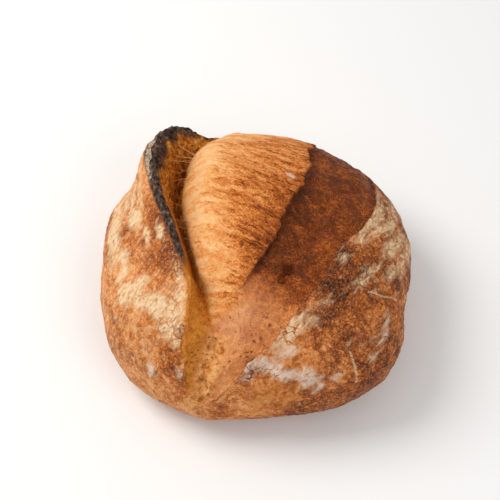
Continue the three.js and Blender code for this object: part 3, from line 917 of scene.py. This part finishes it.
def crumb_finish():
    material = bpy.data.materials.new("crumb")
    material.use_nodes = True
    tree = material.node_tree
    shader = tree.nodes["Principled BSDF"]
    place = add(tree, "ShaderNodeTexCoord").outputs["Object"]
    grain_place = add(tree, "ShaderNodeAttribute", attribute_name="grain").outputs["Vector"]
    stretched = scaled(tree, nudged(tree, grain_place, 130, 0.007), (0.2, 1.0, 1.0))
    on_band = stored(tree, "band")
    bare = math_node(tree, "SUBTRACT", 1.0, on_band)

    # Fibres and wisps drawn across the bloom, a tangle of thin lines, and swirls in the band
    threads = noise_node(tree, stretched, 620, 3, 0.6)
    wisps = noise_node(tree, stretched, 260, 3, 0.55)
    dashes = range_node(tree, noise_node(tree, stretched, 330, 1, 0.4), 0.66, 0.76)
    mottle = noise_node(tree, place, 260, 4, 0.6)
    patches = noise_node(tree, place, 60, 2)
    speckle = noise_node(tree, place, 850, 2, 0.6)
    swirls = noise_node(tree, nudged(tree, place, 70, 0.02), 130, 4, 0.6)
    tangle = noise_node(tree, nudged(tree, place, 260, 0.006), 420, 3, 0.6)
    thin_lines = range_node(tree, math_node(tree, "ABSOLUTE", added(tree, tangle, -0.5)), 0.0, 0.06, 1.0, 0.0)
    browned = range_node(tree, stored(tree, "bake"), 0.14, 0.45, 0.5, 1.0)
    drawn = times(tree, range_node(tree, threads, 0.5, 0.66), 0.26, times(tree, browned, bare))
    tone = added(
        tree, stored(tree, "bake"), drawn, times(tree, sway(tree, wisps, 0.95), bare),
        sway(tree, mottle, 0.42), sway(tree, patches, 0.2), times(tree, sway(tree, swirls, 0.6), on_band),
        times(tree, sway(tree, speckle, 0.8), browned), times(tree, dashes, times(tree, bare, 0.2)),
        times(tree, thin_lines, -0.14),
    )
    colours = ramp_node(tree, tone, (0.0, CREAM_CRUMB), (0.2, GOLDEN_CRUMB), (0.4, TOASTED_CRUMB),
                        (0.6, CHESTNUT_CRUMB), (0.8, MAHOGANY_CRUMB), (1.0, DARK_CRUMB))
    rosy = times(tree, stored(tree, "low_band"), range_node(tree, speckle, 0.4, 0.6, 0.15, 0.6))
    colours = mix_colours(tree, rosy, colours, ROSY_CRUMB)

    # Open crumb in the floor of the tip, and pores by the right lip and down the ear's wall
    crumb_cells = noise_node(tree, nudged(tree, place, 150, 0.008), 230, 4, 0.68)
    crumb_colours = ramp_node(tree, crumb_cells, (0.34, CELL_HOLLOW), (0.46, CELL_WALL), (0.64, CELL_EDGE))
    colours = mix_colours(tree, stored(tree, "crumb_floor"), colours, crumb_colours)
    pore = cells_node(tree, nudged(tree, place, 300, 0.004), PORES_PER_METRE)["Distance"]
    pore_size = times(tree, stored(tree, "pores"), range_node(tree, patches, 0.38, 0.6, 0.22, 0.4))
    pore_here = range_node(tree, math_node(tree, "SUBTRACT", pore_size, pore), -0.06, 0.04)

    # The ear's inner wall is amber, smooth in front and torn further back
    torn_noise = noise_node(tree, nudged(tree, place, 200, 0.005), 300, 4, 0.65)
    roughness = range_node(tree, stored(tree, "torn"), 0.0, 1.0, 0.3, 1.0)
    wall_tone = times(tree, sway(tree, torn_noise, 2.4), roughness)
    wall_tone = added(tree, wall_tone, sway(tree, speckle, 0.5), 0.56)
    wall_tone = math_node(tree, "MULTIPLY_ADD", stored(tree, "torn"), 0.02, wall_tone)
    # Painted shade deep in the crevice darkens the amber of the wall
    wall_tone = math_node(tree, "MULTIPLY_ADD", stored(tree, "painted_crevice_shade"), -0.22, wall_tone)
    amber = ramp_node(tree, wall_tone, (0.0, DEEP_AMBER), (0.3, DARK_AMBER), (0.56, AMBER),
                      (0.8, BRIGHT_AMBER), (1.0, STRAW))
    # Painted shade deep in the crevice, mixed in as a dull olive brown
    shadowed = mix_colours(tree, times(tree, stored(tree, "painted_crevice_shade"), 0.55), colours, CREVICE_SHADE_COLOUR)
    base = mix_colours(tree, stored(tree, "wall"), shadowed, amber)
    base = mix_colours(tree, times(tree, pore_here, 0.8), base, PORE_BROWN)
    pinched = added(tree, stored(tree, "flour"), sway(tree, noise_node(tree, place, 600, 3, 0.7), 2.0))
    base = mix_colours(tree, range_node(tree, pinched, 0.45, 1.2, 0.0, 0.7), base, PINCHED_FLOUR)
    base, burnt_here = charred(tree, place, base)
    link(tree, base, shader.inputs["Base Color"])

    dryness = math_node(tree, "MULTIPLY_ADD", mottle, 0.3, 0.5)
    dryness = math_node(tree, "MULTIPLY_ADD", on_band, -0.1, dryness)
    link(tree, math_node(tree, "MAXIMUM", dryness, burnt_here, clamp=True), shader.inputs["Roughness"])
    shader.inputs["Specular IOR Level"].default_value = BREAD_SHEEN
    height = math_node(tree, "MULTIPLY_ADD", threads, bare, times(tree, speckle, 0.35))
    lines_height = math_node(tree, "MULTIPLY_ADD", mottle, 0.5, times(tree, thin_lines, 0.3))
    height = math_node(tree, "MULTIPLY_ADD", pore_here, -1.6, added(tree, height, lines_height))
    roughened(tree, shader, height, 0.7, 0.0007)
    return material


# The finished loaf rests on its base, stands for the CAD loaf and bears the crust slot
mesh.materials.append(crust_finish())
mesh.materials.append(crumb_finish())
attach(loaf, "root")
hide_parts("loaf")


# ---- The studio -------------------------------------------------------------------------------
# A pale sheet under the loaf, a wide soft light high on the left, a weaker and wider one in front
# on the right, and an even pale surround. These sizes are in metres.
SHEET_HALF = 6
SHEET_CORNERS = [(-SHEET_HALF, -SHEET_HALF, 0), (SHEET_HALF, -SHEET_HALF, 0),
                 (SHEET_HALF, SHEET_HALF, 0), (-SHEET_HALF, SHEET_HALF, 0)]
PALE_GREY = (0.9, 0.9, 0.9, 1)
LOAF_MIDDLE = Vector((0, 0, 0.05))

floor_mesh = bpy.data.meshes.new("floor")
floor_mesh.from_pydata(SHEET_CORNERS, [], [(0, 1, 2, 3)])
floor = bpy.data.objects.new("floor", floor_mesh)
bpy.context.scene.collection.objects.link(floor)
sheet = bpy.data.materials.new("pale_sheet")
sheet.use_nodes = True
sheet.node_tree.nodes["Principled BSDF"].inputs["Base Color"].default_value = PALE_GREY
sheet.node_tree.nodes["Principled BSDF"].inputs["Roughness"].default_value = 0.9
floor_mesh.materials.append(sheet)

CAMERA_AZIMUTH = np.radians(23.5)
CAMERA_ELEVATION = np.radians(55)
CAMERA_DISTANCE = 0.9
AIM_LEFT = 0.0043
AIM_UP = 0.013
right_hand = Vector((np.cos(CAMERA_AZIMUTH), np.sin(CAMERA_AZIMUTH), 0))
towards = Vector((np.sin(CAMERA_AZIMUTH), -np.cos(CAMERA_AZIMUTH), 0))
backwards = towards * np.cos(CAMERA_ELEVATION) + Vector((0, 0, np.sin(CAMERA_ELEVATION)))
upwards = backwards.cross(right_hand)


def soft_light(name, direction, distance, size, power, colour):
    lamp = bpy.data.lights.new(name, "AREA")
    lamp.shape = "DISK"
    lamp.size = size
    lamp.energy = power
    lamp.color = colour
    holder = bpy.data.objects.new(name, lamp)
    holder.location = LOAF_MIDDLE + direction.normalized() * distance
    holder.rotation_euler = direction.to_track_quat("Z", "Y").to_euler()
    bpy.context.scene.collection.objects.link(holder)


WINDOW_TINT = (1.0, 0.97, 0.92)
REFLECTOR_TINT = (1.0, 0.98, 0.96)
up_axis = Vector((0, 0, 1))
to_window = up_axis * 0.95 - right_hand * 0.75 - towards * 0.25
to_reflector = up_axis * 0.7 + right_hand * 0.6 + towards * 0.7
soft_light("window", to_window, distance=1.3, size=0.8, power=11, colour=WINDOW_TINT)
soft_light("reflector", to_reflector, distance=1.6, size=1.2, power=6, colour=REFLECTOR_TINT)
world = bpy.data.worlds.new("surround")
world.use_nodes = True
world.node_tree.nodes["Background"].inputs["Color"].default_value = (1, 1, 1, 1)
world.node_tree.nodes["Background"].inputs["Strength"].default_value = 0.55
bpy.context.scene.world = world
bpy.context.scene.view_settings.view_transform = "Standard"

camera_data = bpy.data.cameras.new("camera")
camera_data.lens = 90
camera_data.sensor_width = 36
camera = bpy.data.objects.new("camera", camera_data)
aim = LOAF_MIDDLE - right_hand * AIM_LEFT + upwards * AIM_UP
camera.location = aim + backwards * CAMERA_DISTANCE
camera.rotation_euler = backwards.to_track_quat("Z", "Y").to_euler()
bpy.context.scene.collection.objects.link(camera)
bpy.context.scene.camera = camera
